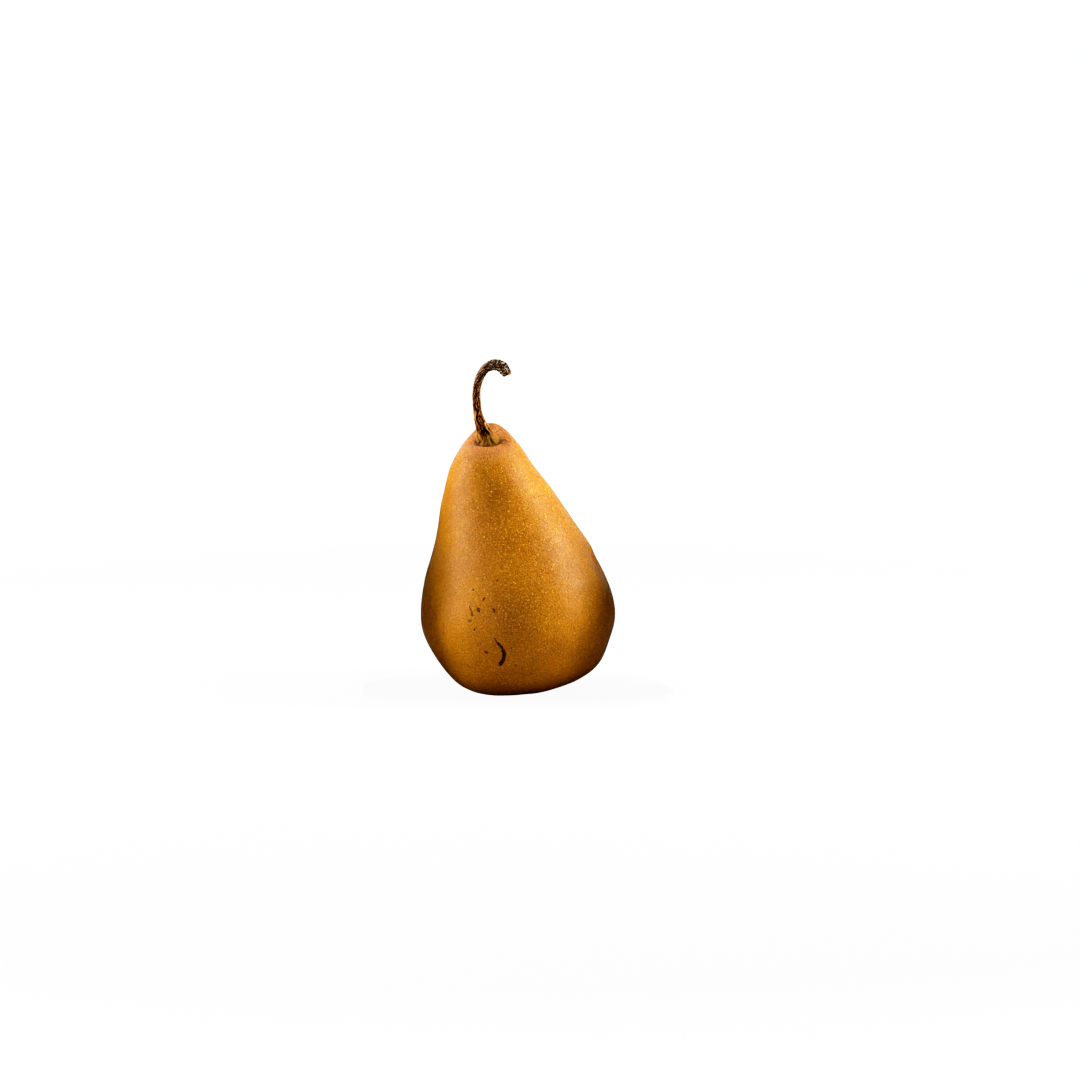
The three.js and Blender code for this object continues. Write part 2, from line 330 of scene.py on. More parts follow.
def shapeSkin(mesh, paths):
    points = pointsOf(mesh)
    normals = normalsOf(mesh)
    mouth, up, right, back = (v[0] for v in framesOn(coreLine, coreLength, np.array([socketRim])))
    fromMouth = points - mouth
    height = fromMouth @ up
    radius = np.linalg.norm(fromMouth - height[:, None] * up, axis=1)
    direction = np.arctan2(fromMouth @ back, fromMouth @ right)
    nearMouth = smoothstep(-9, -3, height)
    inSocket = (1 - smoothstep(*skin["socketEdge"], radius)) * nearMouth
    fromBasin = np.hypot(points[:, 0] - skin["basinMiddle"], points[:, 1])
    inBasin = (1 - smoothstep(*skin["basinEdge"], fromBasin)) * (points[:, 2] < 6)
    onFlat = points[:, 2] < 0.02
    bare = (1 - inSocket) * (1 - inBasin)
    footHeights, footRadii = zip(*skin["footRadius"])
    gap = np.maximum(np.minimum(radius, 5.0) - np.interp(height, footHeights, footRadii), 0)
    pull = gap * smoothstep(3.0, 4.2, radius) * (1 - smoothstep(4.8, 7.2, radius)) * nearMouth
    inward = (height[:, None] * up - fromMouth) / np.maximum(radius, 1e-6)[:, None]

    # Low unevenness of the flesh, none on the flat spot that the pear rests on
    offTable = smoothstep(0.3, 2.5, points[:, 2])
    rise = skin["unevenness"] * grain(points / skin["unevennessSize"]) * bare * offTable
    rise += 0.4 * skin["unevenness"] * grain(points / 3.1 + 40) * bare * offTable

    # Creases that run out from the stem over the lip, deepest behind it and to the right
    facing = 0.5 + 0.5 * np.cos(direction - math.radians(skin["puckerToward"]))
    window = smoothstep(4.7, 5.4, radius) * (1 - smoothstep(6.6, 10.5, radius)) * nearMouth * facing ** 1.5
    wander = grain(np.stack([radius * 0.5, direction, np.zeros_like(radius)], axis=1))
    spokes = grain(np.stack([np.cos(direction) * 5.5, np.sin(direction) * 5.5,
                             wander * 0.8 + radius * 0.16], axis=1))
    crease = smoothstep(0.62, 1.0, 1 - np.abs(spokes) * 1.8)
    crease *= smoothstep(-0.15, 0.25, grain(points / 2.2 + 70))
    rise -= skin["puckerDepth"] * crease * window
    # The crease mask also darkens the skin's colour in the creases, partly as painted shade
    setAttribute(mesh, "crease", crease * window)

    # The dark marks lie slightly sunk, with ragged edges
    ragged = 0.28 * grain(points / 0.6) + 0.26 * grain(points / 0.25 + 9)
    blemish = np.zeros(len(points))
    for path, widths, darkness in paths:
        inside = 1 - smoothstep(-0.16, 0.14, outsideMark(points, path, widths) + ragged)
        blemish = np.maximum(blemish, inside * darkness)
    rise -= skin["scarDepth"] * blemish
    setAttribute(mesh, "blemish", blemish)

    # The seam between stem and flesh is a groove in front, and grown over behind; the skin is painted dark
    # in the groove as painted shade
    inFront = smoothstep(-0.35, 0.25, -np.sin(direction + math.radians(12)))
    seam = (1 - smoothstep(*skin["seamEdge"], radius)) * nearMouth * inFront
    rise -= skin["seamDepth"] * seam
    setAttribute(mesh, "seam", seam)
    setAttribute(mesh, "nearStem", (1 - smoothstep(5.5, 13.5, radius)) * nearMouth)
    setAttribute(mesh, "bare", bare * ~onFlat)
    setPoints(mesh, points + normals * rise[:, None] + inward * pull[:, None])


# Spots in the skin's colour: spacing and radius in mm, how rare they are, how strong, and their colour
skinSpots = {
    "flecks": (1.25, 0.38, 0.2, 0.8, "#eab646"),
    "fineFlecks": (0.8, 0.23, 0.35, 0.75, "#e6aa3e"),
    "pores": (0.75, 0.17, 0.35, 1.0, "#3e1e05"),
    "freckles": (0.55, 0.17, 0.3, 0.9, "#74402c"),
}


def pearSkinMaterial():
    # Ripe russet pear skin, grown and air-dried: thin corky russet over golden flesh, so it is matt to
    # satin, mottled in ochre and gold, with pale corky flecks and fine dark pores.
    material, tree, shader, place = startMaterial("russet_pear_skin")
    nearStem, crease, blemish, seam = (
        addNode(tree, "ShaderNodeAttribute", {"attribute_name": name}).outputs["Fac"]
        for name in ("nearStem", "crease", "blemish", "seam"))
    patches = addNode(tree, "ShaderNodeTexNoise", {"Scale": 1 / 15, "Detail": 2.0}, {"Vector": place})
    mottle = addNode(tree, "ShaderNodeTexNoise", {"Scale": 1 / 3.4, "Detail": 4.0, "Roughness": 0.6},
                     {"Vector": place})
    drawn = addNode(tree, "ShaderNodeVectorMath", {"operation": "MULTIPLY", 1: (1, 1, 0.13)}, {0: place})
    streaks = addNode(tree, "ShaderNodeTexNoise", {"Scale": 1 / 1.3, "Detail": 3.0, "Roughness": 0.6},
                      {"Vector": drawn})
    fineGrain = addNode(tree, "ShaderNodeTexNoise", {"Scale": 1 / 0.45, "Detail": 2.0, "Roughness": 0.6},
                        {"Vector": place})

    # Ochre in large patches, with reddish mottle, golden streaks, a browner foot and a tan shoulder over it
    tone = addNode(tree, "ShaderNodeValToRGB", {"stops": ((0.32, "#b26e0e"), (0.68, "#c88012"))},
                   {"Fac": patches})
    mottleShare = addNode(tree, "ShaderNodeMapRange", {"From Min": 0.52, "From Max": 0.75, "To Max": 0.45},
                          {"Value": mottle})
    streakShare = addNode(tree, "ShaderNodeMapRange", {"From Min": 0.5, "From Max": 0.8, "To Max": 0.35},
                          {"Value": streaks})
    heights = addNode(tree, "ShaderNodeSeparateXYZ", links={0: place})
    lowShare = addNode(tree, "ShaderNodeMapRange", {"From Min": 14.0, "From Max": 0.0, "To Max": 0.25},
                       {"Value": heights.outputs["Z"]})
    tanShare = addNode(tree, "ShaderNodeMath", {"operation": "MULTIPLY", 1: 0.72}, {0: nearStem})
    coloured = tone.outputs[0]
    for share, colour in ((mottleShare, "#c47a26"), (streakShare, "#d49622"), (lowShare, "#8f5506"),
                          (tanShare, "#cf8858")):
        coloured = addNode(tree, "ShaderNodeMix", {"data_type": "RGBA", 7: linear(colour)},
                           {0: share, 6: coloured}).outputs[2]

    # Pale flecks in two sizes, dark pores, and russet freckles that crowd round the stem
    nearby = addNode(tree, "ShaderNodeMath", {"operation": "POWER", 1: 1.5}, {0: nearStem})
    layers = {}
    for name, (spacing, radius, rarity, strength, colour) in skinSpots.items():
        cells = addNode(tree, "ShaderNodeTexVoronoi", {"Scale": 1 / spacing}, {"Vector": place})
        edge = radius / spacing
        mask = addNode(tree, "ShaderNodeMapRange", {"From Min": edge, "From Max": 0.45 * edge},
                       {"Value": cells.outputs["Distance"]})
        pick = addNode(tree, "ShaderNodeSeparateColor", links={0: cells.outputs["Color"]})
        chance = addNode(tree, "ShaderNodeMapRange", {"From Min": rarity, "To Max": strength},
                         {"Value": pick.outputs[0]})
        share = addNode(tree, "ShaderNodeMath", {"operation": "MULTIPLY"}, {0: mask, 1: chance})
        if name == "freckles":
            share = addNode(tree, "ShaderNodeMath", {"operation": "MULTIPLY"}, {0: share, 1: nearby})
        layers[name] = share
        coloured = addNode(tree, "ShaderNodeMix", {"data_type": "RGBA", 7: linear(colour)},
                           {0: share, 6: coloured}).outputs[2]

    # Grain darkens and lightens all of it a little
    grainTone = addNode(tree, "ShaderNodeMapRange",
                        {"From Min": 0.35, "From Max": 0.65, "To Min": 0.66, "To Max": 1.3},
                        {"Value": fineGrain})
    grained = addNode(tree, "ShaderNodeVectorMath", {"operation": "SCALE"},
                      {0: coloured, "Scale": grainTone})

    # Creases beside the stem are darkened to purplish grey-brown, partly the skin's own tone there and
    # partly painted shade in the creases; the marks are nearly black
    creaseShadeShare = addNode(tree, "ShaderNodeMath", {"operation": "MULTIPLY", 1: 0.6}, {0: crease})
    creaseShaded = addNode(tree, "ShaderNodeMix", {"data_type": "RGBA", 7: linear("#6b3d2c")},
                      {0: creaseShadeShare, 6: grained})
    scab = addNode(tree, "ShaderNodeValToRGB", {"stops": ((0.4, "#130a04"), (0.7, "#4a2c0c"))},
                   {"Fac": fineGrain})
    marked = addNode(tree, "ShaderNodeMix", {"data_type": "RGBA"},
                     {0: blemish, 6: creaseShaded.outputs[2], 7: scab})
    # Painted shade: the groove round the stem's foot is painted near-black
    seamShadeShare = addNode(tree, "ShaderNodeMath", {"operation": "MULTIPLY", 1: 0.9}, {0: seam})
    seamShaded = addNode(tree, "ShaderNodeMix", {"data_type": "RGBA", 7: linear("#2c1306")},
                     {0: seamShadeShare, 6: marked.outputs[2]})
    tree.links.new(seamShaded.outputs[2], shader.inputs["Base Color"])

    satin = addNode(tree, "ShaderNodeTexNoise", {"Scale": 1 / 0.9, "Detail": 3.0, "Roughness": 0.7},
                    {"Vector": place})
    roughness = addNode(tree, "ShaderNodeMapRange",
                        {"From Min": 0.35, "From Max": 0.65, "To Min": 0.28, "To Max": 0.64},
                        {"Value": satin})
    tree.links.new(roughness.outputs[0], shader.inputs["Roughness"])
    shader.inputs["IOR"].default_value = 1.4
    shader.inputs["Specular IOR Level"].default_value = 0.35

    # Relief in millimetres: grain, mottle, flecks up and pores down
    relief = addNode(tree, "ShaderNodeMath", {"operation": "MULTIPLY", 1: 0.05}, {0: fineGrain})
    for share, depth in ((satin, 0.14), (mottle, 0.10), (layers["flecks"], 0.05), (layers["pores"], -0.09)):
        relief = addNode(tree, "ShaderNodeMath", {"operation": "MULTIPLY_ADD", 1: depth},
                         {0: share, 2: relief})
    bump = addNode(tree, "ShaderNodeBump", {"Strength": 1.0, "Distance": mm}, {"Height": relief})
    tree.links.new(bump.outputs[0], shader.inputs["Normal"])
    return material


def makeSkin():
    mesh = smoothCopy(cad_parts["fruit"], "pear_skin")
    paths = markPaths(mesh)
    refineRoundMarks(mesh, paths)
    shapeSkin(mesh, paths)
    mesh.shade_smooth()
    mesh.materials.clear()
    mesh.materials.append(pearSkinMaterial())
    piece = addObject("pear_skin", mesh)
    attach(piece, "root")
    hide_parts("fruit")
    return piece


pearSkin = makeSkin()
print("skin:", len(pearSkin.data.polygons), "faces")


# Lenticels, the pale corky pores that stand just proud of the skin

lenticels = {
    "Neck Spacing": 1.45,
    "Belly Spacing": 1.15,
    "Neck Width": 0.46,
    "Belly Width": 0.36,
    "Blend From": 38.0,  # below this height only belly lenticels, above the next only neck ones
    "Blend To": 66.0,
    "Height": 0.010,
    "Seed": 7,
}
lenticelSides = 8


def lenticelShape():
    # A low dome, closed underneath, one unit wide and one high above its rim
    mesh = bpy.data.meshes.new("lenticel_shape")
    form = bmesh.new()
    rim = []
    for i in range(lenticelSides):
        turn = 2 * math.pi * i / lenticelSides
        rim.append(form.verts.new((0.5 * math.cos(turn), 0.5 * math.sin(turn), 0)))
    top = form.verts.new((0, 0, 1))
    bottom = form.verts.new((0, 0, -1))
    for i, corner in enumerate(rim):
        following = rim[(i + 1) % lenticelSides]
        form.faces.new((corner, following, top))
        form.faces.new((following, corner, bottom))
    form.to_mesh(mesh)
    form.free()
    shape = addObject("lenticel_shape", mesh)
    return shape


def lenticelMaterial():
    # Corky pore tissue, grown and weathered: pale straw to gold, quite matt
    material, tree, shader, place = startMaterial("lenticel_cork")
    tint = addNode(tree, "ShaderNodeAttribute", {"attribute_name": "tint"})
    tone = addNode(tree, "ShaderNodeValToRGB", {"stops": ((0, "#c4862a"), (1, "#e6b052"))},
                   {"Fac": tint.outputs["Fac"]})
    speckle = addNode(tree, "ShaderNodeTexNoise", {"Scale": 1 / 0.15}, {"Vector": place})
    level = addNode(tree, "ShaderNodeMapRange",
                    {"From Min": 0.3, "From Max": 0.7, "To Min": 0.85, "To Max": 1.08}, {"Value": speckle})
    colour = addNode(tree, "ShaderNodeVectorMath", {"operation": "SCALE"}, {0: tone, "Scale": level})
    tree.links.new(colour.outputs[0], shader.inputs["Base Color"])
    shader.inputs["Roughness"].default_value = 0.85
    shader.inputs["Specular IOR Level"].default_value = 0.08
    return material


def lenticelTree(shape, material):
    tree = bpy.data.node_groups.new("lenticel_scatter", "GeometryNodeTree")
    face = tree.interface
    face.new_socket("Geometry", in_out="INPUT", socket_type="NodeSocketGeometry")
    for name, value in lenticels.items():
        kind = "NodeSocketInt" if name == "Seed" else "NodeSocketFloat"
        face.new_socket(name, in_out="INPUT", socket_type=kind)
    face.new_socket("Geometry", in_out="OUTPUT", socket_type="NodeSocketGeometry")
    given = addNode(tree, "NodeGroupInput").outputs
    position = addNode(tree, "GeometryNodeInputPosition")
    heights = addNode(tree, "ShaderNodeSeparateXYZ", links={0: position})
    heightHere = addNode(tree, "ShaderNodeMath", {"operation": "DIVIDE", 1: mm}, {0: heights.outputs["Z"]})
    neckShare = addNode(tree, "ShaderNodeMapRange", links={
        "Value": heightHere, "From Min": given["Blend From"], "From Max": given["Blend To"]})
    bellyShare = addNode(tree, "ShaderNodeMath", {"operation": "SUBTRACT", 0: 1.0}, {1: neckShare})
    bare = addNode(tree, "GeometryNodeInputNamedAttribute", {"data_type": "FLOAT", "Name": "bare"})
    blemish = addNode(tree, "GeometryNodeInputNamedAttribute", {"data_type": "FLOAT", "Name": "blemish"})
    clean = addNode(tree, "ShaderNodeMath", {"operation": "LESS_THAN", 1: 0.05}, {0: blemish})
    allowed = addNode(tree, "ShaderNodeMath", {"operation": "MULTIPLY"}, {0: bare, 1: clean})

    joined = addNode(tree, "GeometryNodeJoinGeometry")
    for order, (zone, share) in enumerate((("Neck", neckShare), ("Belly", bellyShare))):
        spacing = addNode(tree, "ShaderNodeMath", {"operation": "MULTIPLY", 1: mm},
                          {0: given[zone + " Spacing"]})
        density = addNode(tree, "ShaderNodeMath", {"operation": "MULTIPLY"}, {0: share, 1: allowed})
        seed = addNode(tree, "ShaderNodeMath", {"operation": "ADD", 1: order * 10}, {0: given["Seed"]})
        spread = addNode(tree, "GeometryNodeDistributePointsOnFaces",
                         {"distribute_method": "POISSON", "Density Max": 4e6},
                         {"Mesh": given["Geometry"], "Distance Min": spacing, "Density Factor": density,
                          "Seed": seed})
        width = addNode(tree, "FunctionNodeRandomValue", {"data_type": "FLOAT", 2: 0.55, 3: 1.35},
                        {"Seed": seed})
        stretch = addNode(tree, "FunctionNodeRandomValue",
                          {"data_type": "FLOAT", 2: 0.75, 3: 1.0, "Seed": 3})
        across = addNode(tree, "ShaderNodeMath", {"operation": "MULTIPLY"},
                         {0: width.outputs[1], 1: given[zone + " Width"]})
        narrow = addNode(tree, "ShaderNodeMath", {"operation": "MULTIPLY"},
                         {0: across, 1: stretch.outputs[1]})
        size = addNode(tree, "ShaderNodeCombineXYZ", links={0: across, 1: narrow, 2: given["Height"]})
        sizeInMetres = addNode(tree, "ShaderNodeVectorMath", {"operation": "SCALE", "Scale": mm}, {0: size})
        turn = addNode(tree, "FunctionNodeRandomValue",
                       {"data_type": "FLOAT", 2: 0.0, 3: 2 * math.pi, "Seed": 5})
        turned = addNode(tree, "FunctionNodeAxisAngleToRotation", {"Axis": (0, 0, 1)},
                         {"Angle": turn.outputs[1]})
        rotation = addNode(tree, "FunctionNodeRotateRotation", {"rotation_space": "LOCAL"},
                           {0: spread.outputs["Rotation"], 1: turned})
        tinted = addNode(tree, "FunctionNodeRandomValue",
                         {"data_type": "FLOAT", 2: 0.0, 3: 1.0, "Seed": 11})
        stored = addNode(tree, "GeometryNodeStoreNamedAttribute",
                         {"data_type": "FLOAT", "domain": "POINT", "Name": "tint"},
                         {"Geometry": spread.outputs["Points"], "Value": tinted.outputs[1]})
        dome = addNode(tree, "GeometryNodeObjectInfo", {"Object": shape})
        placed = addNode(tree, "GeometryNodeInstanceOnPoints", {},
                         {"Points": stored, "Instance": dome.outputs["Geometry"], "Rotation": rotation,
                          "Scale": sizeInMetres})
        tree.links.new(placed.outputs[0], joined.inputs[0])
    real = addNode(tree, "GeometryNodeRealizeInstances", links={0: joined})
    smooth = addNode(tree, "GeometryNodeSetShadeSmooth", links={0: real})
    finished = addNode(tree, "GeometryNodeSetMaterial", {"Material": material}, {"Geometry": smooth})
    addNode(tree, "NodeGroupOutput", links={0: finished})
    return tree


def makeLenticels():
    shape = lenticelShape()
    carrier = addObject("lenticel_carrier", pearSkin.data)
    scatter = carrier.modifiers.new("scatter", "NODES")
    scatter.node_group = lenticelTree(shape, lenticelMaterial())
    for item in scatter.node_group.interface.items_tree:
        if item.in_out == "INPUT" and item.name in lenticels:
            scatter[item.identifier] = lenticels[item.name]
    mesh = evaluatedMesh(carrier, "lenticels")
    for leftover in (carrier, shape):
        bpy.data.objects.remove(leftover)
    piece = addObject("lenticels", mesh)
    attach(piece, "root")
    return piece


dots = makeLenticels()
print("lenticels:", len(dots.data.polygons) // (2 * lenticelSides))


# Stem

stem = {
    "rings": 340,
    "sides": 120,
    "root": ((88.9, 1.2), (92.3, 0.0)),  # points inside the fruit: how far along its core and right of it
    "outline": [  # radius, and share of its length
        (3.2, 0.0), (3.8, 0.06), (3.75, 0.09), (3.3, 0.118), (2.8, 0.15), (2.35, 0.19), (1.96, 0.26),
        (1.5, 0.36), (1.38, 0.47), (1.36, 0.6), (1.46, 0.7), (1.72, 0.8), (1.95, 0.9), (1.85, 0.965),
        (1.45, 1.0),
    ],
    "twist": -0.03,  # turn of the fibres in radians for each mm of length
    "bendTwist": -0.30,  # the same at the start of the bend, where they wind round the stem
    "footLean": 0.4,  # how much further the foot's left side stands out, where the stem leans left
    "furrowDepth": 0.22,
    "wrinkleDepth": 0.16,
    "fibreDepth": 0.10,
    "knobDepth": 0.26,
    "roughDepth": 0.16,
    "meanLift": 0.13,  # keeps the stem's mean thickness under its furrows
    # A cleft in the foot, front right: its two ends as direction in degrees and share of the length
    "cleft": ((-58, 0.15), (-76, 0.225)),
    "cleftWidth": 0.42,
    "cleftDepth": 0.45,
    "brokenEnd": ((0.86, 0.2), (0.66, 0.12), (0.45, -0.12), (0.2, -0.25)),  # size and height of its rings
}

# Wood colours from the ridges to the bottoms of the furrows, with the place of each between them.
# The darkening towards the furrow bottoms is partly the bark's own tone and partly painted shade.
woodTonesAndShade = {
    "shaft": ((0, "#dca25c"), (0.18, "#b5702e"), (0.38, "#744212"), (0.6, "#2c1707"), (1, "#0a0502")),
    "tip": ((0, "#c8b49c"), (0.25, "#a98d74"), (0.5, "#5a4232"), (0.72, "#1e1511"), (1, "#0c0907")),
    "foot": ((0, "#b28430"), (0.3, "#8e5f18"), (0.6, "#4c2f07"), (1, "#0d0a06")),
    "broken": ((0, "#cf8a45"), (1, "#3a1a08")),
}


def stemPoints():
    places, asides = np.array(stem["root"]).T
    centre, axis, right, back = framesOn(coreLine, coreLength, places)
    return np.vstack([centre + asides[:, None] * right, np.array(stemRoute) + groupShift])


def stemMesh():
    line, length = curveThrough(stemPoints())
    rings, sides = stem["rings"], stem["sides"]
    side, _ = curveThrough([(radius, share * length, 0) for radius, share in stem["outline"]])
    distance = np.linspace(0, length, rings)
    plain = np.interp(distance, side[:, 1], side[:, 0])
    centre, axis, right, back = framesOn(line, length, distance)
    share = distance / length

    turns = np.linspace(0, 2 * math.pi, sides, endpoint=False)
    inBend = smoothstep(0.42, 0.55, share) * (1 - smoothstep(0.72, 0.84, share))
    winding = stem["twist"] + stem["bendTwist"] * inBend
    wound = np.cumsum(winding) * length / rings
    along = np.repeat(distance[:, None], sides, axis=1)
    shareHere = np.repeat(share[:, None], sides, axis=1)
    plainTurn = turns[None, :] + wound[:, None]
    wavy = np.stack([np.cos(plainTurn) * 1.2, np.sin(plainTurn) * 1.2, along * 0.3], axis=2)
    twisted = plainTurn + 0.45 * grain(wavy.reshape(-1, 3)).reshape(rings, sides)
    wood = np.stack([np.cos(twisted), np.sin(twisted), along], axis=2).reshape(-1, 3)

    def ridges(around, lengthwise, sharpness, offset):
        # One at the bottom of a groove, zero or less on the ridges between
        value = grain(wood * (around, around, lengthwise) + offset)
        return (1 - np.abs(value) * sharpness).reshape(rings, sides)

    tip = smoothstep(0.76, 0.88, shareHere)
    collar = 1 - smoothstep(0.09, 0.22, shareHere)
    furrowDeep = smoothstep(0.35, 0.95, ridges(2.9, 0.13, 2.8, 3))
    wrinkleDeep = smoothstep(0.35, 0.95, ridges(5.4, 0.26, 2.6, 11))
    fibreDeep = smoothstep(0.3, 0.95, ridges(8.5, 0.45, 2.4, 17))
    knob = grain(wood * (2.4, 2.4, 1.3) + 27).reshape(rings, sides)
    rough = grain(wood * (5.0, 5.0, 3.2) + 38).reshape(rings, sides)
    (lowTurn, lowShare), (highTurn, highShare) = stem["cleft"]
    climb = np.clip((shareHere - lowShare) / (highShare - lowShare), 0, 1)
    cleftTurn = np.radians(lowTurn + climb * (highTurn - lowTurn))
    fromCleft = turns[None, :] - cleftTurn
    aside = np.arctan2(np.sin(fromCleft), np.cos(fromCleft)) * plain[:, None]
    beyond = (shareHere - lowShare - climb * (highShare - lowShare)) * length
    cleftWidth = stem["cleftWidth"] * (0.5 + np.sin(climb * math.pi))
    cleft = 1 - smoothstep(0.35, 1.0, np.hypot(aside, beyond) / cleftWidth)

    thick = np.clip(plain / 1.5, 0.8, 1.3)[:, None]
    out = -stem["furrowDepth"] * furrowDeep * (1 - 0.5 * tip) * (1 - 0.65 * collar) * thick
    out -= stem["wrinkleDepth"] * wrinkleDeep * (1 - 0.3 * tip) * (1 - 0.4 * collar)
    out -= stem["fibreDepth"] * fibreDeep
    out += stem["knobDepth"] * knob * (0.1 + 0.9 * tip)
    out += stem["roughDepth"] * rough * (0.12 + 0.88 * tip)
    out -= stem["cleftDepth"] * cleft
    leftward = np.clip(-np.cos(turns), 0, 1)[None, :] ** 1.5
    out += stem["footLean"] * leftward * np.exp(-((share - 0.145) / 0.04) ** 2)[:, None]
    out += stem["meanLift"]
    hidden = smoothstep(0.0, 0.045, shareHere)
    radius = np.maximum(plain[:, None] + out * hidden, 0.3)

    around = np.cos(turns)[None, :, None] * right[:, None] + np.sin(turns)[None, :, None] * back[:, None]
    grid = centre[:, None] + around * radius[:, :, None]
    # How dark the wood is painted: deepest in the furrows, the tip's hollows and the cleft, partly the
    # bark's own tone and partly painted shade
    furrowToneAndShade = 0.52 * furrowDeep + 0.46 * wrinkleDeep + 0.42 * fibreDeep
    hollowToneAndShade = 0.55 + 0.25 * wrinkleDeep - 1.5 * rough - 0.5 * knob
    deep = furrowToneAndShade * (1 - tip) * (1 - 0.42 * collar) + hollowToneAndShade * tip
    deep = np.clip(np.maximum(deep, cleft * 1.2), 0, 1)

    points = grid.reshape(-1, 3)
    faces = []
    for ring in range(rings - 1):
        for k in range(sides):
            following = (k + 1) % sides
            low = ring * sides
            high = low + sides
            faces.append((low + k, low + following, high + following, high + k))
    bottom = len(points)

    # The end where it broke off the twig: a rim, and a sunken middle
    last = (rings - 1) * sides
    endRings = [centre[:1]]
    for size, sink in stem["brokenEnd"]:
        lift = sink + 0.12 * grain(grid[-1] * 1.8 + 50)
        endRings.append(centre[-1:] + (grid[-1] - centre[-1]) * size + lift[:, None] * axis[-1])
    endRings.append(centre[-1:] + axis[-1:] * stem["brokenEnd"][-1][1])
    points = np.vstack([points, *endRings])
    starts = [last] + [bottom + 1 + order * sides for order in range(len(stem["brokenEnd"]))]
    for k in range(sides):
        following = (k + 1) % sides
        faces.append((following, k, bottom))
        for low, high in zip(starts, starts[1:]):
            faces.append((low + k, low + following, high + following, high + k))
        faces.append((starts[-1] + k, starts[-1] + following, len(points) - 1))
    endCount = len(points) - bottom - 1
    mesh = bpy.data.meshes.new("pear_stem")
    mesh.from_pydata((points * mm).tolist(), [], faces)
    # The broken end darkens towards its sunken middle: partly its own tone, partly painted shade in the
    # hollow
    endToneAndShade = np.repeat([0.25, 0.45, 0.75, 0.9], sides)
    setAttribute(mesh, "deep", np.concatenate([deep.ravel(), [1], endToneAndShade, [1]]))
    setAttribute(mesh, "share", np.concatenate([shareHere.ravel(), [0], np.ones(endCount)]))
    atEnd = smoothstep(0.975, 1, shareHere).ravel()
    setAttribute(mesh, "broken", np.concatenate([atEnd, [0], np.ones(endCount)]))
    mesh.shade_smooth()
    return mesh


def stemMaterial():
    # Dried stem wood with its bark, shrunk into twisting furrows as it dried: golden-brown ridges, black
    # furrows, an olive-tan foot and a grey weathered tip. The black deep in the furrows, the cleft and the
    # broken end's hollow is partly the bark's own tone and partly painted shade.
    material, tree, shader, place = startMaterial("dried_stem_bark")
    deep, share, broken = (addNode(tree, "ShaderNodeAttribute", {"attribute_name": name}).outputs["Fac"]
                           for name in ("deep", "share", "broken"))
    speckle = addNode(tree, "ShaderNodeTexNoise", {"Scale": 1 / 0.5, "Detail": 4.0, "Roughness": 0.7},
                      {"Vector": place})
    patches = addNode(tree, "ShaderNodeTexNoise", {"Scale": 1 / 3.0, "Detail": 2.0}, {"Vector": place})
    shifted = addNode(tree, "ShaderNodeMath", {"operation": "MULTIPLY_ADD", 1: 0.36, 2: -0.18},
                      {0: speckle})
    depth = addNode(tree, "ShaderNodeMath", {"operation": "ADD", "use_clamp": True}, {0: deep, 1: shifted})
    wandering = addNode(tree, "ShaderNodeMath", {"operation": "MULTIPLY_ADD", 1: 0.14, 2: -0.07},
                        {0: patches})
    wandered = addNode(tree, "ShaderNodeMath", {"operation": "ADD"}, {0: share, 1: wandering})
    tipShare = addNode(tree, "ShaderNodeMapRange", {"From Min": 0.58, "From Max": 0.82, "To Max": 0.9},
                       {"Value": wandered})
    footShare = addNode(tree, "ShaderNodeMapRange", {"From Min": 0.20, "From Max": 0.11},
                        {"Value": wandered})
    # Each tone runs to near-black towards the furrow bottoms: partly the bark's own tone, partly painted
    # shade
    tones = {name: addNode(tree, "ShaderNodeValToRGB", {"stops": stops}, {"Fac": depth}).outputs[0]
             for name, stops in woodTonesAndShade.items()}
    coloured = tones["shaft"]
    for name, part in (("tip", tipShare), ("foot", footShare), ("broken", broken)):
        coloured = addNode(tree, "ShaderNodeMix", {"data_type": "RGBA"},
                           {0: part, 6: coloured, 7: tones[name]}).outputs[2]
    tree.links.new(coloured, shader.inputs["Base Color"])
    shader.inputs["Roughness"].default_value = 0.72
    shader.inputs["Specular IOR Level"].default_value = 0.15
    relief = addNode(tree, "ShaderNodeMath", {"operation": "MULTIPLY", 1: 0.08}, {0: speckle})
    bump = addNode(tree, "ShaderNodeBump", {"Strength": 1.0, "Distance": mm}, {"Height": relief})
    tree.links.new(bump.outputs[0], shader.inputs["Normal"])
    return material


def makeStem():
    mesh = stemMesh()
    mesh.materials.append(stemMaterial())
    piece = addObject("pear_stem", mesh)
    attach(piece, "root")
    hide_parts("stem")
    return piece


pearStem = makeStem()
print("stem:", len(pearStem.data.polygons), "faces")


# Calyx, the dried flower end in the basin underneath

calyx = {
    "cupRadius": 2.1,
    "cupDepth": 1.45,
    "wall": 0.45,
    "sepals": 5,
    "firstToward": -59,  # degrees, in line with the rib at the front
    "sepalRoot": 1.3,
    "sepalLength": 2.7,
    "sepalWidth": 2.1,
    "sepalThickness": 0.28,
    "curl": 1.55,
    "stamens": 11,
}


